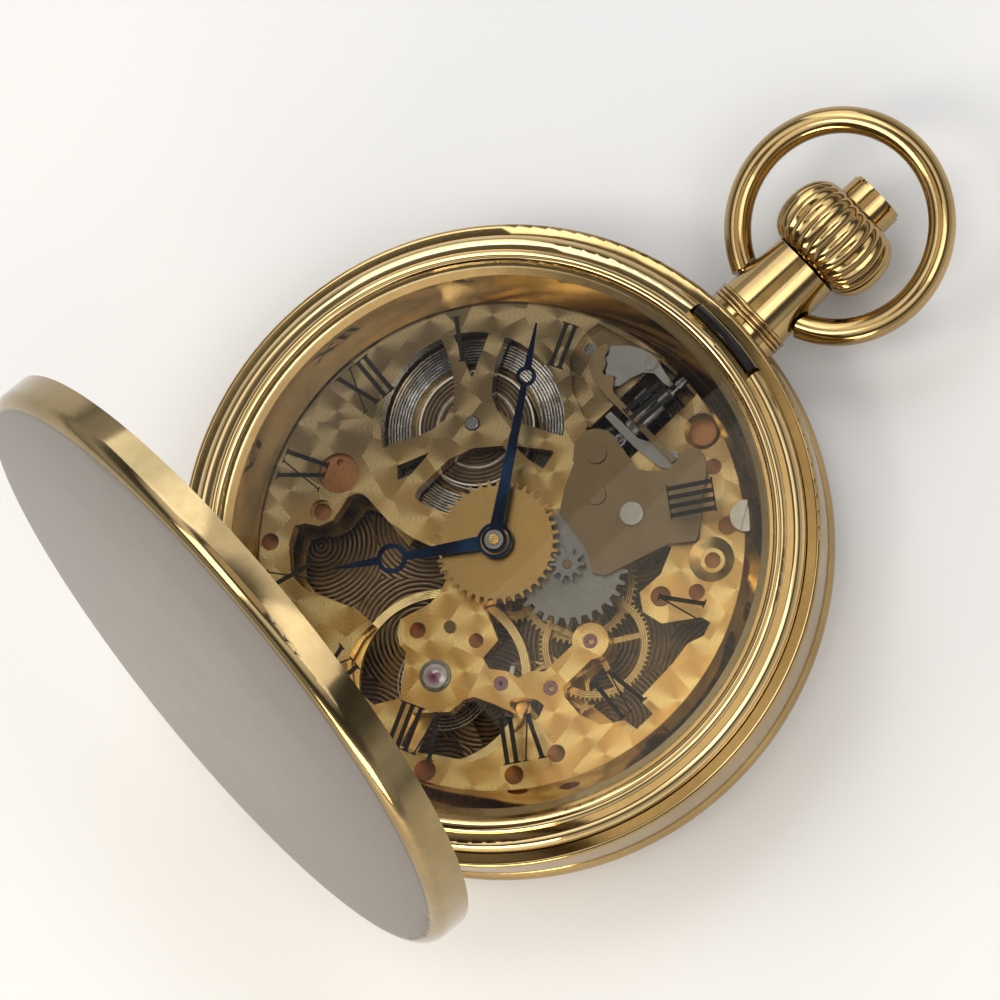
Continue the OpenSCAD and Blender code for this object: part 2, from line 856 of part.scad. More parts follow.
module pallet_bridge() {
  color(gold) up() {
    translate([0, 0, -3.4])
      linear_extrude(0.4)
        difference() {
          union() {
            translate(pal)
              circle(1);
            polygon([[-7.5, -7.2], [-6.1, -7.9], [-7.7, -12.9], [-9.1, -12.5]]);
            translate([-8.5, -12.9])
              circle(0.95);
          }
          translate(pal)
            circle(0.35);
        }
    cyl(-8.5, -12.9, -3.4, -1.4, 0.8);
  }
}

module balance_wheel() {
  color([0.85, 0.66, 0.33]) up() translate([bal[0], bal[1], -2.3]) {
    linear_extrude(0.55)
      difference() {
        circle(6.7);
        circle(6.05);
      }
    linear_extrude(0.3)
      difference() {
        union() {
          circle(1.1);
          rotate(25)
            translate([-6.3, -0.4])
              square([12.6, 0.8]);
        }
        circle(0.35);
      }
  }
}

module balance_staff() {
  color(steel) up() translate(bal) {
    cyl(0, 0, -3.55, -0.35, 0.3);
    cyl(0, 0, -2.55, -2.35, 1.0);
    rotate(dir(bal, pal))
      cyl(0.75, 0, -2.9, -2.4, 0.16);
  }
}

module hairspring() {
  color([0.2, 0.25, 0.45]) up() translate([bal[0], bal[1], -3.15]) {
    spiral(0.7, 3.6, 11, 0.07, 0.2, 32);
    difference() {
      cylinder(h = 0.2, r = 0.76);
      translate([0, 0, -1])
        cylinder(h = 3, r = 0.36);
    }
  }
}

module balance_cock() {
  color([0.45, 0.30, 0.16]) up() difference() {
    union() {
      translate([0, 0, -3.95])
        linear_extrude(0.45) {
          translate(bal)
            circle(1.2);
          polygon([[-10.7, -3.6], [-9.1, -4.1], [-11.8, -11.2], [-13.1, -10.7]]);
          translate([-12.5, -11])
            circle(0.85);
        }
      cyl(-12.5, -11, -3.95, -1.4, 0.85);
    }
    cyl(bal[0], bal[1], -5, 0, 0.4);
  }
}

module ring_jewel(x, y, z, h, r, b) {
  translate([x, y, z])
    difference() {
      cylinder(h = h, r = r);
      translate([0, 0, -1])
        cylinder(h = h + 2, r = b);
    }
}

module jewels() {
  color(ruby) up() {
    ring_jewel(fourth[0], fourth[1], -0.55, 0.5, 0.53, 0.24);
    ring_jewel(esc[0], esc[1], -0.55, 0.5, 0.53, 0.22);
    ring_jewel(pal[0], pal[1], -0.55, 0.5, 0.53, 0.18);
    for (p = [[third, 0.3], [fourth, 0.24], [esc, 0.22], [[0, 0], 0.44]])
      ring_jewel(p[0][0], p[0][1], -4.0, 0.4, 0.49, p[1]);
  }
}

module shock_setting() {
  color(steel) up() translate([bal[0], bal[1], 0]) difference() {
    union() {
      cyl(0, 0, -0.6, 0.08, 1.18);
      cyl(0, 0, 0.05, 0.14, 1.08);
    }
    cyl(0, 0, -0.12, 0.5, 0.92);
    cyl(0, 0, -1, -0.3, 0.33);
  }
}

module shock_jewel() {
  color(ruby) up() translate([bal[0], bal[1], 0]) union() {
    cyl(0, 0, -0.12, -0.02, 0.9);
    intersection() {
      cyl(0, 0, -0.05, 1, 0.9);
      translate([0, 0, -1.2])
        sphere(1.5);
    }
  }
}

// ---------- motion work, hands, numerals ----------
module cannon_pinion() {
  color(steel) up() difference() {
    union() {
      translate([0, 0, 0.15])
        linear_extrude(0.45)
          gear2d(ncan, mm_, dir([0, 0], minw), 1);
      cyl(0, 0, 0.5, 2.15, 0.7);
    }
    cyl(0, 0, 0, 3, 0.42);
  }
}

module minute_wheel() {
  color(steel) up() translate(minw) difference() {
    union() {
      translate([0, 0, 0.15])
        linear_extrude(0.3)
          gear2d(nmw, mm_, dir(minw, [0, 0]));
      translate([0, 0, 0.4])
        linear_extrude(0.78)
          gear2d(nmp, mh, dir(minw, [0, 0]), 1);
    }
    cyl(0, 0, 0, 3, 0.34);
  }
}

module hour_wheel() {
  color(brass) up() difference() {
    union() {
      translate([0, 0, 0.87])
        linear_extrude(0.3)
          gear2d(nh, mh, dir([0, 0], minw));
      cyl(0, 0, 0.9, 1.75, 1.05);
    }
    cyl(0, 0, 0, 3, 0.75);
  }
}

// pomme hand: tapered arm, pierced disc, fine tip, pointing along +Y
module hand2d(len, ring_y, ring_r, hole_r, boss_r, bore_r, w0, w1) {
  difference() {
    union() {
      circle(boss_r);
      polygon([[-w0 / 2, 0], [w0 / 2, 0], [w1 / 2, ring_y], [-w1 / 2, ring_y]]);
      translate([0, ring_y])
        circle(ring_r);
      polygon([[-w1 * 0.62, ring_y + ring_r * 0.8], [w1 * 0.62, ring_y + ring_r * 0.8], [0.06, len],
          [-0.06, len]]);
    }
    circle(bore_r);
    translate([0, ring_y])
      circle(hole_r);
  }
}

module hour_hand() {
  color(blue) up() translate([0, 0, 1.68]) rotate(-hour_angle) linear_extrude(0.14)
      hand2d(12.1, 7.7, 1.12, 0.78, 1.3, 1.06, 1.1, 0.5);
}

module minute_hand() {
  color(blue) up() translate([0, 0, 2.0]) rotate(-minute_angle) linear_extrude(0.14)
      hand2d(16.2, 12.2, 0.74, 0.46, 0.92, 0.71, 1.0, 0.46);
}

nt = 0.12;
nb_w = 0.34;
module bar_i(x) {
  translate([x - nb_w / 2, 0])
    square([nb_w, num_out - num_in]);
  for (y = [0, num_out - num_in - nt])
    translate([x - nb_w / 2 - 0.14, y])
      square([nb_w + 0.28, nt]);
}

module stroke(x0, x1, w, h) {
  polygon([[x0 - w / 2, 0], [x0 + w / 2, 0], [x1 + w / 2, h], [x1 - w / 2, h]]);
  translate([x0 - w / 2 - 0.15, 0])
    square([w + 0.3, nt]);
  translate([x1 - w / 2 - 0.15, h - nt])
    square([w + 0.3, nt]);
}

module num_v(x) {
  h = num_out - num_in;
  stroke(x, x - 0.62, nb_w, h);
  stroke(x, x + 0.62, 0.12, h);
}

module num_x(x) {
  h = num_out - num_in;
  stroke(x + 0.58, x - 0.58, nb_w, h);
  stroke(x - 0.58, x + 0.58, 0.12, h);
}

g1 = 0.66;
module numeral(k) {
  if (k == 1)
    bar_i(0);
  if (k == 2)
    for (i = [-0.5, 0.5])
      bar_i(i * g1);
  if (k == 3)
    for (i = [-1 : 1])
      bar_i(i * g1);
  if (k == 4)
    for (i = [-1.5 : 1.5])
      bar_i(i * g1);
  if (k == 5)
    num_v(0);
  if (k == 6) {
    num_v(-0.45);
    bar_i(0.85);
  }
  if (k == 7) {
    num_v(-0.75);
    for (i = [0, 1])
      bar_i(0.55 + i * g1);
  }
  if (k == 8) {
    num_v(-1.1);
    for (i = [0 : 2])
      bar_i(0.2 + i * g1);
  }
  if (k == 9) {
    bar_i(-1.0);
    num_x(0.3);
  }
  if (k == 10)
    num_x(0);
  if (k == 11) {
    num_x(-0.3);
    bar_i(1.0);
  }
  if (k == 12) {
    num_x(-0.62);
    for (i = [0, 1])
      bar_i(0.66 + i * g1);
  }
}

// printed on the underside of the crystal, turned with it
module numerals() {
  color([0.05, 0.05, 0.05]) up() translate([-0.1, 0.3, glass_z - 0.04]) linear_extrude(0.04)
    for (k = [1 : 12])
      rotate(-30 * k - crystal_turn)
        translate([0, num_in])
          numeral(k);
}

// ---------- keyless work ----------
module cover_plate() {
  color([0.55, 0.47, 0.33]) up() translate([0, 0, 0.5]) linear_extrude(0.3) difference() {
    union() {
      translate([9.75, -0.1])
        circle(1.65);
      polygon([[11.45, -0.05], [11, -3.2], [11.4, -3.8], [12.6, -4.9], [14.6, -4.6], [15.3, -5.4],
          [14.8, -6.6], [10.5, -10.1], [9, -8.9], [4, -7.3], [3.5, -6.5], [4.05, -5.5], [4.5, -4.3],
          [4.7, -1.6], [6.2, -0.5], [8, 0.4], [8.5, 1]]);
    }
    for (p = [setw, inter])
      translate(p)
        circle(0.77);
    translate([8.5, -5.4])
      circle(0.5);
  }
}

module cover_screw() {
  color([0.8, 0.8, 0.8]) up() screw(8.5, -5.4, 1.1, 0.85, 0.28, 5, 0.78);
}

module plate_studs() {
  color(gold) up() {
    for (p = [setw, inter])
      cyl(p[0], p[1], 0, 0.95, 0.75);
    cyl(minw[0], minw[1], 0, 1.2, 0.3);
    cyl(minw[0], minw[1], 0, 0.12, 0.8);
    cyl(-6.7, -1.9, 0, 0.15, 0.45);
    cyl(10.2, -5.6, 0, 0.49, 0.7);
    cyl(12.5, -6.9, 0, 0.49, 0.7);
    cyl(13.3, -4.2, -0.65, -0.15, 0.25);
  }
}

inter_th = mate(dir(minw, [0, 0]), inter_a, nmw, ni);
setw_th = mate(inter_th, dir(inter, setw), ni, ns);

module toothed_disc(p, n, th, r_bore) {
  translate([p[0], p[1], 0.15])
    linear_extrude(0.3)
      difference() {
        gear2d(n, mm_, th);
        circle(r_bore);
      }
}

module setting_wheel() {
  color(steel) up() toothed_disc(setw, ns, setw_th, 0.78);
}

module intermediate_wheel() {
  color(steel) up() toothed_disc(inter, ni, inter_th, 0.78);
}

module setting_lever() {
  color(steel) up() {
    translate([0, 0, -0.5])
      linear_extrude(0.35)
        difference() {
          polygon([[13.8, 2.9], [14.5, 3.1], [14.4, 3.5], [14.1, 3.7], [14.3, 4.1], [14.7, 4.3],
              [14.9, 4.8], [15.3, 4.8], [15.5, 5.2], [15.9, 5.1], [16.8, 4.2], [17.3, 3.3],
              [17.6, 2.4], [17.4, 1.3], [17.2, 0.25], [16.85, -0.2], [16.7, 0.3], [16.7, 1.4],
              [16.2, 2], [15.3, 2.35], [14.3, 2.5]]);
          translate([17, 2.1])
            circle(0.3);
        }
    cyl(17.0, 0.05, -1.75, -0.4, 0.18);
  }
}

module setting_lever_screw() {
  color([0.8, 0.8, 0.8]) up() {
    cyl(17, 2.1, -1.2, -0.05, 0.26);
    cyl(17, 2.1, -0.14, 0.1, 0.5);
    cyl(14.6, 6.1, -0.6, -0.3, 0.45);
  }
}

module yoke() {
  color(steel) up() {
    translate([0, 0, -0.55])
      linear_extrude(0.3)
        difference() {
          polygon([[11.95, 1.6], [12.5, 1.6], [12.6, -1.3], [14, -4.1], [13.7, -4.75], [12.8, -4.75],
              [12.3, -4], [11.95, -1.5]]);
          translate([13.3, -4.2])
            circle(0.28);
        }
    for (y = [-1.3, 1.42])
      translate([11.95, y - 0.1, -2.2])
        cube([0.38, 0.2, 1.75]);
  }
}

module lever_spring() {
  color([0.55, 0.47, 0.33]) up() {
    translate([0, 0, -0.12])
      linear_extrude(0.25)
        polygon([[13.55, -4.6], [13.6, 2.4], [13.85, 2.75], [14.3, 3.1], [14.4, 3.45], [14, 3.85],
            [14.05, 4.1], [14.6, 4.3], [15, 4.85], [15.5, 5], [15.75, 5.4], [15.3, 5.65],
            [14.4, 5.6], [13.7, 5.25], [13.2, 4.3], [13.05, 2.8], [13.15, -4.6]]);
    translate([13.15, -4.6, -0.12])
      cube([0.4, 0.5, 0.62]);
  }
}

back_cover();
inner_back();
case_middle();
bezel();
crystal();
lid();
hinge_pin();
catch();
pendant();
bow();
crown();
button();
stem();
winding_pinion();
clutch();
case_screws();
main_plate();
barrel();
barrel_cover();
mainspring();
barrel_arbor();
ratchet_wheel();
crown_wheel();
crown_wheel_screw();
click();
barrel_bridge();
train_bridge();
bridge_screws();
balance_cock();
centre_wheel();
third_wheel();
fourth_wheel();
escape_wheel();
pallet_fork();
pallet_stones();
pallet_bridge();
balance_wheel();
balance_staff();
hairspring();
jewels();
shock_setting();
shock_jewel();
plate_plugs();
cannon_pinion();
minute_wheel();
hour_wheel();
hour_hand();
minute_hand();
numerals();
cover_plate();
cover_screw();
setting_wheel();
intermediate_wheel();
setting_lever();
setting_lever_screw();
yoke();
lever_spring();
plate_studs();
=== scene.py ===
import bpy
import json
import math
from mathutils import Matrix, Vector

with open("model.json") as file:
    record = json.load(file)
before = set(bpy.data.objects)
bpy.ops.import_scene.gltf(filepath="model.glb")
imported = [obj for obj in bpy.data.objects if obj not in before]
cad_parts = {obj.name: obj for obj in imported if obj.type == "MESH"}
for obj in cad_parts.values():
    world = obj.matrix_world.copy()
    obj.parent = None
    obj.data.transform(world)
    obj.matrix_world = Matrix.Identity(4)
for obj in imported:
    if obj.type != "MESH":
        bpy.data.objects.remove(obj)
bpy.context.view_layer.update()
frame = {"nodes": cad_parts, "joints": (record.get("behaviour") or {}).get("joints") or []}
MM = 0.001
JOINTS = {j["name"]: j for j in frame["joints"]}


def axis_of(joint):
    """Where a joint's upright axis stands, in mm."""
    x, y, _ = JOINTS[joint]["pos_m"]
    return x / MM, y / MM


BARREL = axis_of("barrel_spin")
BALANCE = axis_of("balance_swing")
LID_OPEN = math.radians(-JOINTS["lid_hinge"]["range_deg"][0])
LID_MIDDLE = (-17.9, 0.0, 33.4)

GOLD = (0.50, 0.35, 0.155)
GOLD_DARK = (0.34, 0.23, 0.095)
STEEL_LIGHT = (0.66, 0.65, 0.63)
STEEL_DARK = (0.4, 0.395, 0.39)
SMOOTH_BELOW = math.radians(26)
WELD_WITHIN = 2e-6


# -------------------------------------------------------------- shader helpers
class Shader:
    """One Principled material with object coordinates in millimetres."""

    def __init__(self, name, color, metallic, rough, **sockets):
        self.m = bpy.data.materials.new(name)
        self.m.use_nodes = True
        self.t = self.m.node_tree
        self.b = self.t.nodes["Principled BSDF"]
        self.b.inputs["Base Color"].default_value = (*color, 1)
        self.b.inputs["Metallic"].default_value = metallic
        self.b.inputs["Roughness"].default_value = rough
        for k, v in sockets.items():
            self.b.inputs[k.replace("_", " ")].default_value = v
        tc = self.add("ShaderNodeTexCoord")
        sc = self.add("ShaderNodeVectorMath", operation="SCALE")
        sc.inputs["Scale"].default_value = 1.0 / MM
        self.link(tc.outputs["Object"], sc.inputs[0])
        self.p = sc.outputs[0]

    def add(self, kind, **props):
        n = self.t.nodes.new(kind)
        for k, v in props.items():
            setattr(n, k, v)
        return n

    def link(self, a, b):
        self.t.links.new(a, b)

    def put(self, value, socket):
        if isinstance(value, (int, float, tuple)):
            socket.default_value = value
        else:
            self.link(value, socket)

    def math(self, op, a, b=None, c=None):
        n = self.add("ShaderNodeMath", operation=op)
        self.put(a, n.inputs[0])
        if b is not None:
            self.put(b, n.inputs[1])
        if c is not None:
            self.put(c, n.inputs[2])
        return n.outputs[0]

    def vec(self, op, a, b=None):
        n = self.add("ShaderNodeVectorMath", operation=op)
        self.put(a, n.inputs[0])
        if b is not None:
            self.put(b, n.inputs[1])
        return n.outputs["Value"] if op in ("LENGTH", "DOT_PRODUCT", "DISTANCE") else n.outputs[0]

    def wave(self, v, op="SINE"):
        """SINE or COSINE of v, brought to 0..1."""
        return self.math("MULTIPLY_ADD", self.math(op, v), 0.5, 0.5)

    def noise(self, scale, detail=3.0, stretch=None, rough=0.55, seed=0.0):
        v = self.p
        if stretch is not None:
            v = self.vec("MULTIPLY", v, stretch)
        n = self.add("ShaderNodeTexNoise", noise_dimensions="4D")
        n.inputs["W"].default_value = seed
        n.inputs["Scale"].default_value = scale
        n.inputs["Detail"].default_value = detail
        n.inputs["Roughness"].default_value = rough
        self.link(v, n.inputs["Vector"])
        return n.outputs["Fac"]

    def range(self, v, a, b, c, d):
        n = self.add("ShaderNodeMapRange")
        self.put(v, n.inputs["Value"])
        for k, x in zip(("From Min", "From Max", "To Min", "To Max"), (a, b, c, d)):
            n.inputs[k].default_value = x
        return n.outputs["Result"]

    def ramp(self, v, stops):
        n = self.add("ShaderNodeValToRGB")
        e = n.color_ramp.elements
        while len(e) < len(stops):
            e.new(0.5)
        for el, (pos, col) in zip(e, stops):
            el.position = pos
            el.color = (*col, 1)
        self.link(v, n.inputs["Fac"])
        return n.outputs["Color"]

    def mix(self, fac, a, b):
        n = self.add("ShaderNodeMix", data_type="RGBA")
        self.put(fac, n.inputs[0])
        for s, x in ((n.inputs[6], a), (n.inputs[7], b)):
            if isinstance(x, tuple):
                s.default_value = (*x, 1)
            else:
                self.link(x, s)
        return n.outputs[2]

    def sep(self, v):
        n = self.add("ShaderNodeSeparateXYZ")
        self.link(v, n.inputs[0])
        return n.outputs

    def bump(self, height, dist, strength=1.0, under=None):
        n = self.add("ShaderNodeBump")
        n.inputs["Distance"].default_value = dist * MM
        n.inputs["Strength"].default_value = strength
        self.link(height, n.inputs["Height"])
        if under is not None:
            self.link(under, n.inputs["Normal"])
        return n.outputs["Normal"]

    def color(self, v):
        self.link(v, self.b.inputs["Base Color"])

    def rough(self, v):
        self.link(v, self.b.inputs["Roughness"])

    def normal(self, v):
        self.link(v, self.b.inputs["Normal"])

    def around(self, centre):
        """Offset from an upright axis, in the XY plane."""
        return self.vec("MULTIPLY", self.vec("SUBTRACT", self.p, (*centre, 0)), (1, 1, 0))

    def angle(self, flat):
        x, y, _ = self.sep(flat)
        return self.math("ARCTAN2", y, x)

    def brush_round(self, flat):
        """Turns the grain of a brushed metal round the middle that flat is measured from."""
        self.link(self.vec("NORMALIZE", self.vec("CROSS_PRODUCT", flat, (0, 0, 1))), self.b.inputs["Tangent"])

    def spots(self, size, random, seed):
        """Offset from the middle of the nearest grinding spot, in the XY plane."""
        flat = self.vec("MULTIPLY", self.p, (1, 1, 0))
        flat = self.vec("ADD", flat, (seed, seed * 0.7, 0))
        v = self.add("ShaderNodeTexVoronoi", voronoi_dimensions="2D", feature="F1")
        v.inputs["Scale"].default_value = 1.0 / size
        v.inputs["Randomness"].default_value = random
        self.link(flat, v.inputs["Vector"])
        d = self.vec("SUBTRACT", flat, v.outputs["Position"])
        return self.vec("MULTIPLY", d, (1, 1, 0)), v.outputs["Color"]


def polished(name, light, dark, rough, scratch):
    """Polished metal: faint tarnish clouds, hairline scratches and finger haze."""
    s = Shader(name, light, 1.0, rough)
    cloud = s.noise(0.12, 4.0, seed=1.3)
    fine = s.noise(1.7, 3.0, seed=4.1)
    f = s.math("MULTIPLY_ADD", fine, 0.25, cloud)
    s.color(s.mix(s.range(f, 0.42, 0.82, 0.0, 1.0), light, dark))
    along = s.noise(2.2, 2.0, stretch=(1.0, 14.0, 5.0), seed=2.2)
    across = s.noise(2.0, 2.0, stretch=(12.0, 1.0, 4.0), seed=7.7)
    hair = s.math("MULTIPLY", along, across)
    haze = s.range(cloud, 0.35, 0.7, rough * 0.8, rough * 1.7)
    s.rough(s.math("MULTIPLY_ADD", s.range(hair, 0.2, 0.45, 0.0, 1.0), 0.06 * scratch, haze))
    ripple = s.bump(s.noise(0.35, 1.0, seed=9.0), 0.03, 0.18)
    s.normal(s.bump(hair, 0.004, 0.25 * scratch, ripple))
    return s.m


def perlage(name, light, dark, size, pitch, rough, contrast, seed=0.0,
            aniso=0.6, bumpy=0.10, ringy=0.12, wobble=1.2, far_side_shade=None):
    """Metal ground in overlapping round spots: rings in each spot and a painted highlight in a fan across it.

    size and pitch are a spot's and a ring's width in mm. contrast and ringy are how much of the painted fan
    highlight and of the rings shows. The last argument gives the light and dark colours toward XII-III:
    painted shade, darker on that side where less light falls.
    """
    s = Shader(name, light, 1.0, rough, Anisotropic=aniso)
    d, cell = s.spots(size, 0.8, seed)
    turn = s.math("MULTIPLY_ADD", s.sep(cell)[0], 2.4, s.math("MULTIPLY", s.angle(d), 2.0))
    # painted highlight: the fan brightens the colour by angle across each spot
    painted_fan = s.math("POWER", s.wave(turn, "COSINE"), 2.4)
    r = s.vec("LENGTH", d)
    wob = s.noise(1.2, 2.0, seed=3.0)
    rr = s.math("MULTIPLY_ADD", wob, pitch * wobble, r)
    ring = s.wave(s.math("MULTIPLY", rr, 2 * math.pi / pitch))
    cloud = s.noise(0.3, 3.0, seed=5.0)
    f = s.math("MULTIPLY_ADD", ring, ringy, s.math("MULTIPLY", painted_fan, contrast))
    f = s.math("MULTIPLY_ADD", cloud, 0.4, f)
    f = s.range(f, 0.12, 1.0, 0.0, 1.0)
    tone = s.mix(f, dark, light)
    if far_side_shade:
        # painted shade: the colours darken toward XII-III, where less light falls
        along = s.vec("DOT_PRODUCT", s.p, (0.55, 0.83, 0.0))
        along = s.math("MULTIPLY_ADD", cloud, 6.0, along)
        tone = s.mix(s.range(along, -9.0, 13.0, 0.0, 1.0), tone, s.mix(f, far_side_shade[1], far_side_shade[0]))
    s.color(tone)
    s.rough(s.range(ring, 0.0, 1.0, rough * 0.8, rough * 1.25))
    s.brush_round(d)
    s.normal(s.bump(ring, 0.02, bumpy))
    return s.m


def grained(name, light, dark, rough, scale, bump, stretch=None, aniso=0.0):
    """Matte metal, or brushed metal where stretch draws its grain out, with slight colour change."""
    s = Shader(name, light, 1.0, rough, Anisotropic=aniso)
    g = s.noise(scale, 4.0, stretch=stretch, seed=1.0)
    c = s.noise(0.5, 3.0, seed=6.0)
    f = s.math("MULTIPLY_ADD", g, 0.7, s.math("MULTIPLY", c, 0.5))
    s.color(s.mix(s.range(f, 0.35, 0.85, 0.0, 1.0), dark, light))
    s.rough(s.range(g, 0.3, 0.7, rough * 0.75, rough * 1.3))
    s.normal(s.bump(g, bump, 0.6))
    return s.m


def turned(name, light, dark, joint, pitch, sunburst=0):
    """Wheel turned on a lathe: fine rings round its own joint, and sunburst rays where asked for."""
    rough = 0.22
    s = Shader(name, light, 1.0, rough, Anisotropic=0.6)
    flat = s.around(axis_of(joint))
    wob = s.noise(0.9, 2.0, seed=3.0)
    cloud = s.noise(1.0, 2.0)
    rr = s.math("MULTIPLY_ADD", wob, pitch * 0.8, s.vec("LENGTH", flat))
    wave = s.wave(s.math("MULTIPLY", rr, 2 * math.pi / pitch))
    f = s.math("MULTIPLY_ADD", wave, 0.35, s.math("MULTIPLY", cloud, 0.8))
    if sunburst:
        ray = s.math("SINE", s.math("MULTIPLY", s.angle(flat), sunburst))
        f = s.math("ADD", f, s.math("MULTIPLY_ADD", ray, 0.25, 0.1))
    s.color(s.mix(s.range(f, 0.3, 0.9, 0.0, 1.0), dark, light))
    s.rough(s.range(wave, 0.0, 1.0, rough * 0.8, rough * 1.25))
    s.brush_round(flat)
    s.normal(s.bump(wave, 0.012, 0.45))
    return s.m


def wheel(name, light=(0.66, 0.46, 0.19), dark=(0.40, 0.26, 0.10), pitch=0.16, joint=None):
    return turned(name + "_brass", light, dark, joint or name + "_spin", pitch)


def clear(name, tint, haze):
    """Clear sheet: see-through with a Fresnel gloss and a trace of wiping marks."""
    s = Shader(name, (1, 1, 1), 0.0, 0.03)
    gloss = s.add("ShaderNodeBsdfGlossy")
    gloss.inputs["Color"].default_value = (0.95, 0.97, 1.0, 1)
    wipe = s.noise(1.1, 3.0, stretch=(1, 4, 1), seed=2.0)
    s.link(s.range(wipe, 0.3, 0.8, haze * 0.5, haze * 2.0), gloss.inputs["Roughness"])
    see = s.add("ShaderNodeBsdfTransparent")
    see.inputs["Color"].default_value = (*tint, 1)
    fres = s.add("ShaderNodeFresnel")
    fres.inputs["IOR"].default_value = 1.45
    mix = s.add("ShaderNodeMixShader")
    s.link(s.math("MULTIPLY", fres.outputs[0], s.range(wipe, 0.2, 0.9, 0.8, 1.0)), mix.inputs[0])
    s.link(see.outputs[0], mix.inputs[1])
    s.link(gloss.outputs[0], mix.inputs[2])
    s.link(mix.outputs[0], s.t.nodes["Material Output"].inputs["Surface"])
    s.t.nodes.remove(s.b)
    return s.m


def satin_lid():
    """Lid: polished gold rim, and flat satin faces painted a dark grey-brown for the shade they mirror, paler
    in the middle.
    """
    s = Shader("lid_gold", GOLD, 1.0, 0.12)
    tc = s.add("ShaderNodeTexCoord")
    axis = (-math.sin(LID_OPEN), 0.0, math.cos(LID_OPEN))
    dot = s.vec("DOT_PRODUCT", tc.outputs["Normal"], axis)
    face = s.range(s.math("ABSOLUTE", dot), 0.93, 0.985, 0.0, 1.0)
    cloud = s.noise(0.10, 3.0, seed=1.0)
    fine = s.noise(1.4, 3.0, seed=4.0)
    f = s.range(s.math("MULTIPLY_ADD", fine, 0.3, cloud), 0.45, 0.85, 0.0, 1.0)
    rim = s.mix(f, (0.38, 0.285, 0.145), (0.25, 0.18, 0.085))
    # painted shade: the flat faces are darkened to grey-brown for the shaded floor they mirror, and darker
    # still away from the middle
    painted_shade_face = s.mix(f, (0.190, 0.152, 0.122), (0.142, 0.112, 0.088))
    reach = s.vec("DISTANCE", s.p, LID_MIDDLE)
    painted_shade_face = s.mix(s.range(reach, 9.0, 23.0, 0.0, 1.0), painted_shade_face, (0.095, 0.069, 0.043))
    s.color(s.mix(face, rim, painted_shade_face))
    lines = s.noise(2.0, 2.0, stretch=(9.0, 1.0, 9.0), seed=2.0)
    s.rough(s.math("MULTIPLY_ADD", face, 0.12, s.range(lines, 0.3, 0.7, 0.07, 0.14)))
    ripple = s.bump(s.noise(0.3, 1.0, seed=9.0), 0.03, 0.15)
    s.normal(s.bump(lines, 0.004, 0.2, ripple))
    return s.m


def blued():
    """Heat-blued steel: deep navy with lighter blue where the heat ran on."""
    s = Shader("blued_steel", (0.03, 0.07, 0.2), 1.0, 0.16)
    c = s.noise(0.35, 2.0, seed=2.0)
    g = s.noise(9.0, 2.0, seed=1.0)
    f = s.math("MULTIPLY_ADD", g, 0.2, c)
    s.color(s.ramp(f, [(0.35, (0.004, 0.007, 0.022)),
                       (0.6, (0.007, 0.019, 0.058)),
                       (0.8, (0.025, 0.075, 0.19))]))
    s.rough(s.range(g, 0.3, 0.7, 0.12, 0.24))
    s.normal(s.bump(g, 0.004, 0.4))
    return s.m


def ruby():
    """Synthetic ruby: purple-red in darker and lighter patches, polished."""
    s = Shader("ruby", (0.35, 0.015, 0.06), 0.0, 0.06, Coat_Weight=0.8, Coat_Roughness=0.03, IOR=1.76)
    n = s.noise(2.5, 2.0, seed=1.0)
    s.color(s.ramp(n, [(0.3, (0.07, 0.004, 0.022)),
                       (0.55, (0.17, 0.010, 0.05)),
                       (0.8, (0.34, 0.05, 0.13))]))
    s.rough(s.range(n, 0.3, 0.7, 0.04, 0.12))
    s.normal(s.bump(n, 0.01, 0.2))
    return s.m


def jewel_glass(centre):
    """Domed cap jewel: lilac over the pivot, paling toward its edge as a painted reflection of the glassy
    dome.
    """
    s = Shader("jewel_glass", (0.5, 0.4, 0.4), 0.0, 0.05, Coat_Weight=1.0, Coat_Roughness=0.02, IOR=1.76)
    n = s.noise(3.0, 2.0, seed=1.0)
    r = s.math("MULTIPLY_ADD", n, 0.35, s.vec("LENGTH", s.around(centre)))
    # painted reflection: the colour pales toward the edge of the dome
    s.color(s.ramp(r, [(0.28, (0.20, 0.035, 0.09)),
                       (0.62, (0.34, 0.17, 0.20)),
                       (0.95, (0.62, 0.56, 0.52))]))
    s.rough(s.range(n, 0.3, 0.7, 0.03, 0.10))
    s.normal(s.bump(n, 0.01, 0.15))
    return s.m


def guide_disc(centre):
    """Disc over the spring: blackened bronze with painted highlights on its two turned edges."""
    s = Shader("guide_disc", (0.1, 0.08, 0.06), 1.0, 0.3, Anisotropic=0.5)
    flat = s.around(centre)
    r = s.vec("LENGTH", flat)
    wave = s.wave(s.math("MULTIPLY", r, 21.0))
    n = s.noise(0.5, 3.0, seed=2.0)
    f = s.math("MULTIPLY_ADD", wave, 0.35, s.math("MULTIPLY", n, 0.8))
    tone = s.mix(s.range(f, 0.3, 0.9, 0.0, 1.0), (0.035, 0.026, 0.02), (0.16, 0.11, 0.065))
    # painted highlight: a bright ring of colour at each turned edge
    for edge_r in (2.94, 4.27):
        painted_edge_highlight = s.range(s.math("ABSOLUTE", s.math("SUBTRACT", r, edge_r)), 0.05, 0.09, 1.0, 0.0)
        tone = s.mix(painted_edge_highlight, tone, (0.60, 0.55, 0.48))
    s.color(tone)
    s.rough(s.range(wave, 0.0, 1.0, 0.2, 0.34))
    s.brush_round(flat)
    s.normal(s.bump(wave, 0.012, 0.4))
    return s.m


def ink():
    """Printed enamel: near black, faintly uneven, satin."""
    s = Shader("ink", (0.012, 0.010, 0.009), 0.0, 0.42, Specular_IOR_Level=0.25)
    n = s.noise(9.0, 3.0, seed=1.0)
    s.color(s.ramp(n, [(0.3, (0.008, 0.007, 0.007)), (0.7, (0.022, 0.018, 0.015))]))
    s.rough(s.range(n, 0.3, 0.7, 0.32, 0.52))
    s.normal(s.bump(n, 0.006, 0.4))
    return s.m


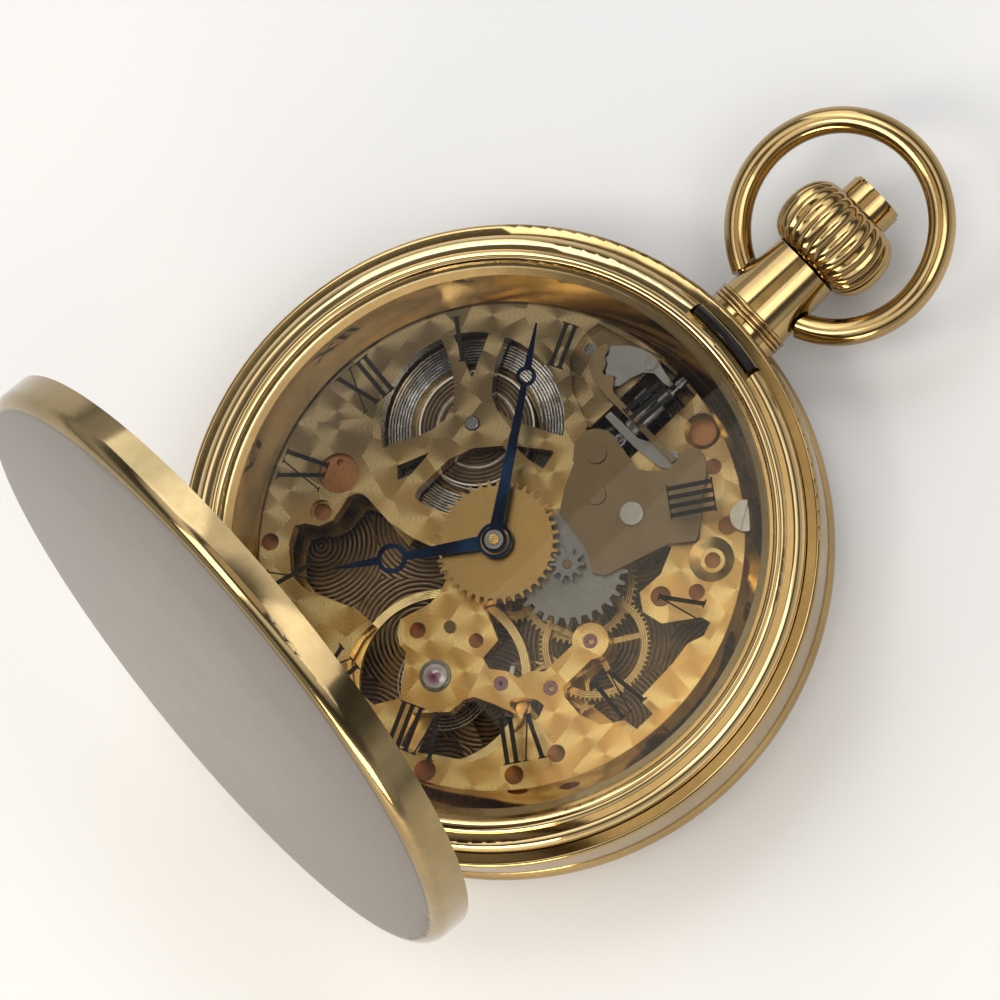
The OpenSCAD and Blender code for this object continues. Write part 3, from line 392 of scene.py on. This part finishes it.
def spring_metal(centre):
    """Mainspring coils: cold grey steel with painted highlights in bright fans round the barrel's centre."""
    s = Shader("spring_steel", (0.5, 0.5, 0.5), 1.0, 0.2, Anisotropic=0.5)
    flat = s.around(centre)
    n = s.noise(1.2, 3.0, stretch=(1, 1, 4), seed=1.0)
    # painted highlight: the colour brightens in fans by angle round the barrel
    turn = s.math("MULTIPLY_ADD", n, 0.8, s.math("MULTIPLY", s.angle(flat), 3.0))
    s.color(s.ramp(s.wave(turn, "COSINE"), [(0.0, (0.20, 0.20, 0.20)),
                                            (0.55, (0.45, 0.445, 0.44)),
                                            (1.0, (0.90, 0.89, 0.87))]))
    s.rough(s.range(n, 0.3, 0.7, 0.14, 0.3))
    s.brush_round(flat)
    s.normal(s.bump(n, 0.001, 0.1))
    return s.m


def paper():
    """Background paper: broad faint clouds and a fine fibre."""
    s = Shader("paper", (0.83, 0.82, 0.82), 0.0, 0.6)
    soft = s.noise(0.012, 2.0, seed=1.0)
    fibre = s.noise(0.8, 4.0, seed=2.0)
    s.color(s.mix(s.range(soft, 0.3, 0.7, 0.0, 1.0), (0.75, 0.745, 0.74), (0.70, 0.70, 0.715)))
    s.normal(s.bump(fibre, 0.05, 0.2))
    return s.m


# ------------------------------------------------------------------- materials
case_gold = polished("case_gold", GOLD, GOLD_DARK, 0.08, 0.8)
rim_gold = polished("rim_gold", (0.72, 0.53, 0.265), (0.52, 0.375, 0.175), 0.06, 0.5)
screw_steel = polished("screw_steel", (0.62, 0.61, 0.59), (0.42, 0.41, 0.40), 0.13, 1.0)
black_steel = polished("black_steel", (0.075, 0.07, 0.068), (0.025, 0.024, 0.024), 0.10, 0.8)

plate_gold = perlage("plate_gold", (1.0, 0.71, 0.27), (0.80, 0.45, 0.13), 3.1, 0.09, 0.27, 0.85,
                     aniso=0.7, far_side_shade=((0.30, 0.22, 0.115), (0.10, 0.07, 0.034)))
bridge_gold = perlage("bridge_gold", (0.95, 0.62, 0.22), (0.60, 0.34, 0.11), 2.6, 0.09, 0.27, 0.8,
                      seed=1.9, far_side_shade=((0.34, 0.23, 0.11), (0.14, 0.09, 0.04)))
# painted shade: the inner back and the balance cock are coloured dark brown for the shade inside the case;
# the big turned rings are the metal's own pattern
back_bronze = perlage("back_bronze", (0.24, 0.16, 0.085), (0.03, 0.018, 0.010), 8.0, 0.36, 0.28, 0.30,
                      seed=3.7, bumpy=0.9, ringy=0.55, wobble=0.4)

bronze = grained("bronze", (0.20, 0.14, 0.075), (0.125, 0.085, 0.045), 0.36, 22.0, 0.010)
copper = grained("copper", (0.34, 0.155, 0.065), (0.20, 0.085, 0.035), 0.45, 6.0, 0.02)
hour_brass = grained("hour_wheel_brass", (0.55, 0.36, 0.14), (0.44, 0.28, 0.10), 0.24, 28.0, 0.0015)
grey_plate = grained("grey_plate", (0.25, 0.245, 0.23), (0.145, 0.14, 0.13), 0.34, 16.0, 0.01)
steel = grained("steel", (0.62, 0.61, 0.60), (0.40, 0.39, 0.385), 0.30, 5.0, 0.01,
                stretch=(1, 7, 1), aniso=0.3)
dark_steel = grained("dark_steel", (0.19, 0.18, 0.175), (0.06, 0.058, 0.055), 0.24, 4.0, 0.012,
                     stretch=(9, 1, 1), aniso=0.4)

blued_steel = blued()
ruby_red = ruby()

look = {
    # case
    "case_middle": case_gold, "back_cover": case_gold, "bezel": rim_gold, "inner_back": back_bronze,
    "lid": satin_lid(), "hinge_pin": case_gold, "catch": black_steel, "case_screws": screw_steel,
    "pendant": case_gold, "bow": case_gold, "crown": case_gold, "button": case_gold,
    "crystal": clear("crystal_clear", (0.985, 0.985, 0.975), 0.012),
    # plates and bridges
    "main_plate": plate_gold, "plate_plugs": copper, "bridge_screws": screw_steel,
    "barrel_bridge": bridge_gold, "train_bridge": bridge_gold, "pallet_bridge": bridge_gold,
    "balance_cock": back_bronze, "jewels": ruby_red,
    "shock_setting": screw_steel, "shock_jewel": jewel_glass(BALANCE),
    # power
    "barrel": wheel("barrel", (0.30, 0.21, 0.10), (0.12, 0.08, 0.04), 0.3),
    "barrel_cover": guide_disc(BARREL), "mainspring": spring_metal(BARREL), "barrel_arbor": screw_steel,
    "ratchet_wheel": turned("ratchet_steel", STEEL_LIGHT, STEEL_DARK, "ratchet_spin", 0.2, sunburst=24),
    "crown_wheel": turned("crown_wheel_steel", STEEL_LIGHT, STEEL_DARK, "crown_wheel_spin", 0.2),
    "crown_wheel_screw": screw_steel, "click": steel,
    # train
    "centre_wheel": wheel("centre", joint="time_turn"), "third_wheel": wheel("third"),
    "fourth_wheel": wheel("fourth"), "escape_wheel": wheel("escape"),
    "pallet_fork": steel, "pallet_stones": ruby_red, "hairspring": steel, "balance_staff": screw_steel,
    "balance_wheel": wheel("balance", (0.92, 0.72, 0.36), (0.7, 0.5, 0.2), 0.12, "balance_swing"),
    # display
    "cannon_pinion": screw_steel, "minute_wheel": grey_plate, "hour_wheel": hour_brass,
    "hour_hand": blued_steel, "minute_hand": blued_steel, "numerals": ink(),
    # winding and setting
    "cover_plate": bronze, "plate_studs": bronze, "cover_screw": screw_steel,
    "setting_wheel": grey_plate, "intermediate_wheel": grey_plate,
    "setting_lever": grey_plate, "setting_lever_screw": screw_steel,
    "yoke": grey_plate, "lever_spring": bronze,
    "stem": dark_steel, "winding_pinion": dark_steel, "clutch": dark_steel,
}


def dress(name, node):
    """Gives a node its material, and smooths it everywhere but at its sharp edges."""
    mesh = node.data
    mesh.materials.clear()
    mesh.materials.append(look[name])
    if "custom_normal" in mesh.attributes:
        mesh.attributes.remove(mesh.attributes["custom_normal"])
    mesh.polygons.foreach_set("use_smooth", [True] * len(mesh.polygons))
    weld = node.modifiers.new("weld", "WELD")
    weld.merge_threshold = WELD_WITHIN
    split = node.modifiers.new("edges", "EDGE_SPLIT")
    split.split_angle = SMOOTH_BELOW


for name, node in frame["nodes"].items():
    dress(name, node)

# ----------------------------------------------------------- floor and lighting
CENTRE = Vector((0.0, 0.0, 0.008))
RIGHT = Vector((0.740, -0.673, 0)).normalized()
AWAY = Vector((0.702, 0.712, 0)).normalized()
# Brightness of the sky by the height of its direction. It is dark near the zenith, which the crystal mirrors
# to the camera, and bright in a ring round that, which the ground spots of the plate mirror.
SKY = [(0.0, 0.36), (0.08, 0.55), (0.26, 0.65), (0.40, 0.20), (0.60, 0.08),
       (0.76, 1.3), (0.88, 1.8), (0.93, 0.14), (1.0, 0.10)]


def spot(r, a, h):
    """A place r to the right of the watch, a away from the camera and h above it."""
    return CENTRE + RIGHT * r + AWAY * a + Vector((0, 0, h))


def card(name, size, place, look_at, strength, tint, size_y=None):
    """Rectangular soft light, aimed at look_at."""
    data = bpy.data.lights.new(name, "AREA")
    data.shape = "RECTANGLE"
    data.size = size
    data.size_y = size_y or size
    data.energy = strength
    data.color = tint
    o = bpy.data.objects.new(name, data)
    bpy.context.scene.collection.objects.link(o)
    o.location = place
    o.rotation_euler = (look_at - place).to_track_quat("-Z", "Y").to_euler()


def sky():
    """World that is a little warm and follows SKY."""
    world = bpy.data.worlds.new("studio")
    bpy.context.scene.world = world
    world.use_nodes = True
    tree = world.node_tree
    background = tree.nodes["Background"]
    background.inputs["Strength"].default_value = 1.0
    tc = tree.nodes.new("ShaderNodeTexCoord")
    sep = tree.nodes.new("ShaderNodeSeparateXYZ")
    ramp = tree.nodes.new("ShaderNodeValToRGB")
    elements = ramp.color_ramp.elements
    while len(elements) < len(SKY):
        elements.new(0.5)
    for element, (pos, lum) in zip(elements, SKY):
        element.position = pos
        element.color = (lum, lum * 0.995, lum * 0.985, 1)
    tree.links.new(tc.outputs["Generated"], sep.inputs[0])
    tree.links.new(sep.outputs["Z"], ramp.inputs["Fac"])
    tree.links.new(ramp.outputs["Color"], background.inputs["Color"])


card("window", 0.30, spot(-0.18, 0.46, 0.44), CENTRE, 1.05, (0.93, 0.97, 1.0), size_y=0.55)
card("side", 0.22, spot(-0.34, -0.16, 0.46), CENTRE, 1.3, (1.0, 0.93, 0.80), size_y=0.30)
card("fill", 0.40, spot(0.34, -0.16, 0.62), CENTRE, 0.95, (0.98, 0.985, 1.0), size_y=0.40)
card("glow", 0.13, spot(0.0, 0.012, 0.30), spot(0.0, 0.012, 0.0), 0.045, (1.0, 0.86, 0.64))
card("front", 0.30, spot(-0.10, -0.46, 0.10), CENTRE, 1.3, (1.0, 0.84, 0.58), size_y=0.12)
sky()

bpy.ops.mesh.primitive_grid_add(x_subdivisions=8, y_subdivisions=8, size=4.0, location=(0, 0, 0))
floor = bpy.context.object
floor.name = "floor"
floor.data.materials.append(paper())

# ---------------------------------------------------------------------- camera
# The camera's right, up and back directions and its place, solved from the outlines of plate, case, lid and
# bow in the photo.
CAMERA_AXES = (Vector((0.72439, -0.65918, -0.20182)),
               Vector((0.68922, 0.69893, 0.19099)),
               Vector((0.01516, -0.27745, 0.96062)))
CAMERA_PLACE = Vector((0.008318, -0.108744, 0.392845))
LENS_MM = 198.47
SENSOR_MM = 36.0


def photo_camera():
    data = bpy.data.cameras.new("camera")
    data.sensor_width = SENSOR_MM
    data.lens = LENS_MM
    data.clip_start = 0.01
    data.clip_end = 10.0
    camera = bpy.data.objects.new("camera", data)
    bpy.context.scene.collection.objects.link(camera)
    turn = Matrix(CAMERA_AXES).transposed().to_4x4()
    turn.translation = CAMERA_PLACE
    camera.matrix_world = turn
    return camera


scene = bpy.context.scene
scene.camera = photo_camera()
scene.view_settings.view_transform = "Standard"
scene.cycles.transparent_max_bounces = 32
scene.cycles.max_bounces = 14
scene.cycles.glossy_bounces = 8
